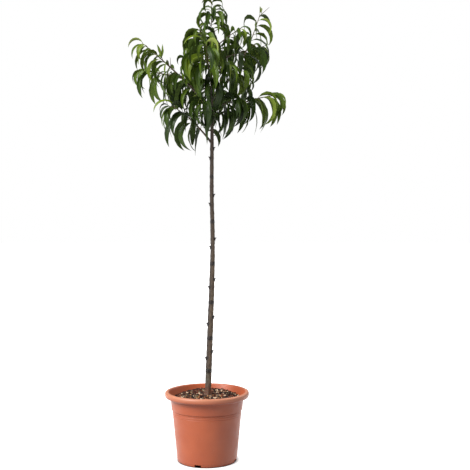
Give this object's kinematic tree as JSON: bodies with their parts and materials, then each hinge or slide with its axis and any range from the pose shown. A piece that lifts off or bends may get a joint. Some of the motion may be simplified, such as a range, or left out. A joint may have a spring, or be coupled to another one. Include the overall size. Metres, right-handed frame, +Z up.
{
  "type": "potted flat peach tree",
  "caption": "Young flat peach tree trained as a standard: bare knobbly stem, open crown of hanging sickle-shaped leaves, and a round rimmed nursery pot.",
  "frame": {"origin": "middle of the pot's flat underside, which stands on the ground", "axes": "+Z up along the stem, +X to the right and -Y towards the viewer of the picture"},
  "size_m": [0.521, 0.3775, 1.5295],
  "materials": {
    "pot": "satin moulded terracotta-coloured polypropylene",
    "potting_mix": "loose bark and peat, matt",
    "bark": "smooth grey-brown bark, matt",
    "foliage": "living leaves, soft sheen"
  },
  "bodies": {
    "root": {"bough_front_left": "bark", "bough_front_middle": "bark", "bough_front_right": "bark", "bough_left_arm": "bark", "bough_left_low_arm": "bark", "bough_low_back": "bark", "bough_low_back_left": "bark", "bough_low_back_right": "bark", "bough_low_front": "bark", "bough_low_left": "bark", "bough_low_right": "bark", "bough_middle_front": "bark", "bough_middle_right": "bark", "bough_right_arm": "bark", "bough_upper_back_left": "bark", "bough_upper_back_right": "bark", "bough_upper_front_right": "bark", "bough_upper_left": "bark", "bough_upper_right": "bark", "leaves_front_left": "foliage", "leaves_front_middle": "foliage", "leaves_front_right": "foliage", "leaves_leader": "foliage", "leaves_left_arm": "foliage", "leaves_left_low_arm": "foliage", "leaves_low_back": "foliage", "leaves_low_back_left": "foliage", "leaves_low_back_right": "foliage", "leaves_low_front": "foliage", "leaves_low_left": "foliage", "leaves_low_right": "foliage", "leaves_middle_front": "foliage", "leaves_middle_right": "foliage", "leaves_right_arm": "foliage", "leaves_upper_back_left": "foliage", "leaves_upper_back_right": "foliage", "leaves_upper_front_right": "foliage", "leaves_upper_left": "foliage", "leaves_upper_right": "foliage", "pot": "pot", "soil": "potting_mix", "trunk": "bark"}
  },
  "joints": []
}
